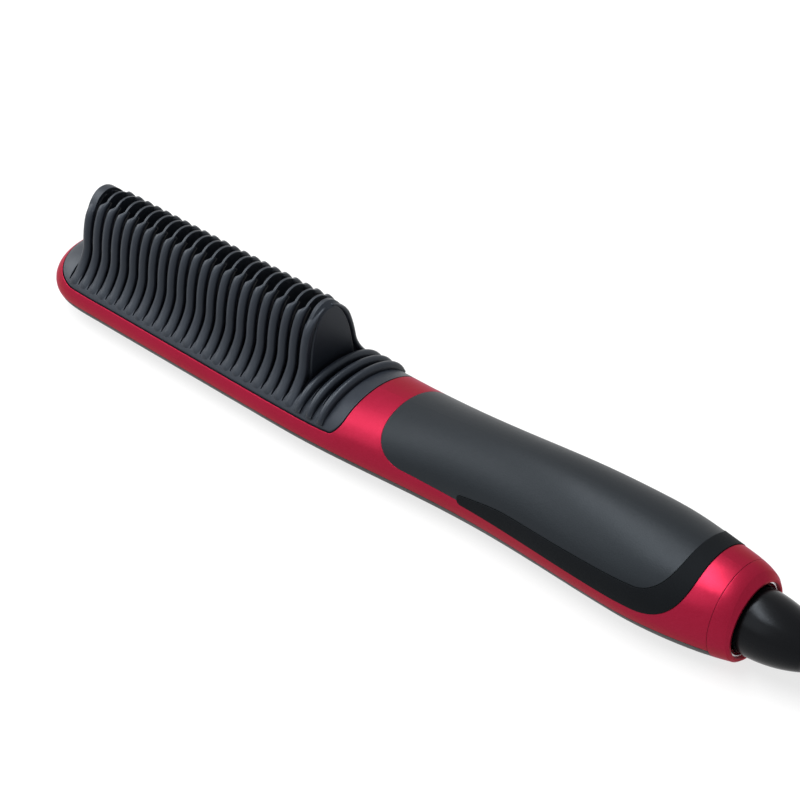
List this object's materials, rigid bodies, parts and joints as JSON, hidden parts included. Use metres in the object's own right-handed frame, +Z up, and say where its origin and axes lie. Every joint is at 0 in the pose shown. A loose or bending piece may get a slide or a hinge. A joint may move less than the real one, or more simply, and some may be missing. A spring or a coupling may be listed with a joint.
{
  "type": "hair straightener comb",
  "caption": "Heated hair straightening comb with bell-shaped comb fins, rounded grip handle, push buttons on the back, swivel cord and three-pin plug.",
  "frame": {"origin": "on the resting surface under the middle of the body, measured from tip to collar without the cord", "axes": "+X from the comb's tip to the cord end, +Y across, +Z up from the back to the comb's teeth"},
  "size_m": [0.6107, 0.0468, 0.0446],
  "materials": {
    "red_metal_paint": "metallic red paint, satin gloss",
    "black_plastic": "fine satin black",
    "comb_plastic": "heat-proof charcoal plastic, satin",
    "grip_plastic": "matte charcoal, soft touch",
    "rubber": "matte black rubber",
    "silver_trim": "satin silver",
    "aluminium": "dark hard-coated aluminium",
    "steel": "plain steel",
    "brass": "plain brass",
    "ceramic": "grey ceramic, matte",
    "insulation": "amber film and mica, satin",
    "nylon": "natural nylon, matte",
    "board": "green solder mask, satin",
    "lens": "smoked window, gloss",
    "parts": "moulded component cases",
    "wire": "silicone wire sleeve",
    "cord": "satin black cord jacket"
  },
  "bodies": {
    "housing": {"back_cover": "black_plastic", "front_frame": "red_metal_paint", "comb_guard": "comb_plastic", "heating_comb": "aluminium", "heater_insulation": "insulation", "upper_electrode": "brass", "ptc_heater": "ceramic", "lower_electrode": "brass", "mica_sheet": "insulation", "heater_clamp": "steel", "clamp_screws": "steel", "comb_screws": "steel", "heat_shield": "steel", "grip_panel": "grip_plastic", "grip_pad": "rubber", "end_collar": "red_metal_paint", "collar_trim": "silver_trim", "swivel_bushing": "nylon", "brush_holder": "nylon", "brushes": "brass", "control_panel": "black_plastic", "display_lens": "lens", "display_module": "parts", "control_board": "board", "board_screws": "steel", "terminal_block": "nylon", "relay": "parts", "capacitor": "parts", "choke": "brass", "heater_lead_a": "wire", "heater_lead_b": "wire", "supply_lead_a": "wire", "supply_lead_b": "wire", "case_screws": "steel", "power_cord": "cord", "cord_hank": "cord", "cord_tail": "cord", "cord_tie": "rubber", "plug_body": "black_plastic", "plug_grip": "rubber", "fuse_cover": "black_plastic", "thermistor": "ceramic", "thermal_fuse": "steel", "live_pin": "brass", "neutral_pin": "brass", "earth_pin": "brass", "minus_switch": "black_plastic", "plus_switch": "black_plastic", "power_switch": "black_plastic"},
    "swivel": {"swivel_boot": "black_plastic", "ring_core": "nylon", "slip_rings": "brass"},
    "minus": {"minus_button": "black_plastic", "minus_plunger": "nylon"},
    "plus": {"plus_button": "black_plastic", "plus_plunger": "nylon"},
    "power": {"power_button": "black_plastic", "power_plunger": "nylon"}
  },
  "joints": [
    {"name": "cord_swivel", "type": "hinge", "parent": "housing", "child": "swivel", "pos_m": [0.13257, 0, 0.0141], "axis": [1, 0, 0], "continuous": true},
    {"name": "minus_press", "type": "slide", "parent": "housing", "child": "minus", "axis": [0, 0, 1], "range_m": [0, 0.0006], "stiffness_N_per_m": 2000},
    {"name": "plus_press", "type": "slide", "parent": "housing", "child": "plus", "axis": [0, 0, 1], "range_m": [0, 0.0006], "stiffness_N_per_m": 2000},
    {"name": "power_press", "type": "slide", "parent": "housing", "child": "power", "axis": [0, 0, 1], "range_m": [0, 0.0006], "stiffness_N_per_m": 2000}
  ]
}
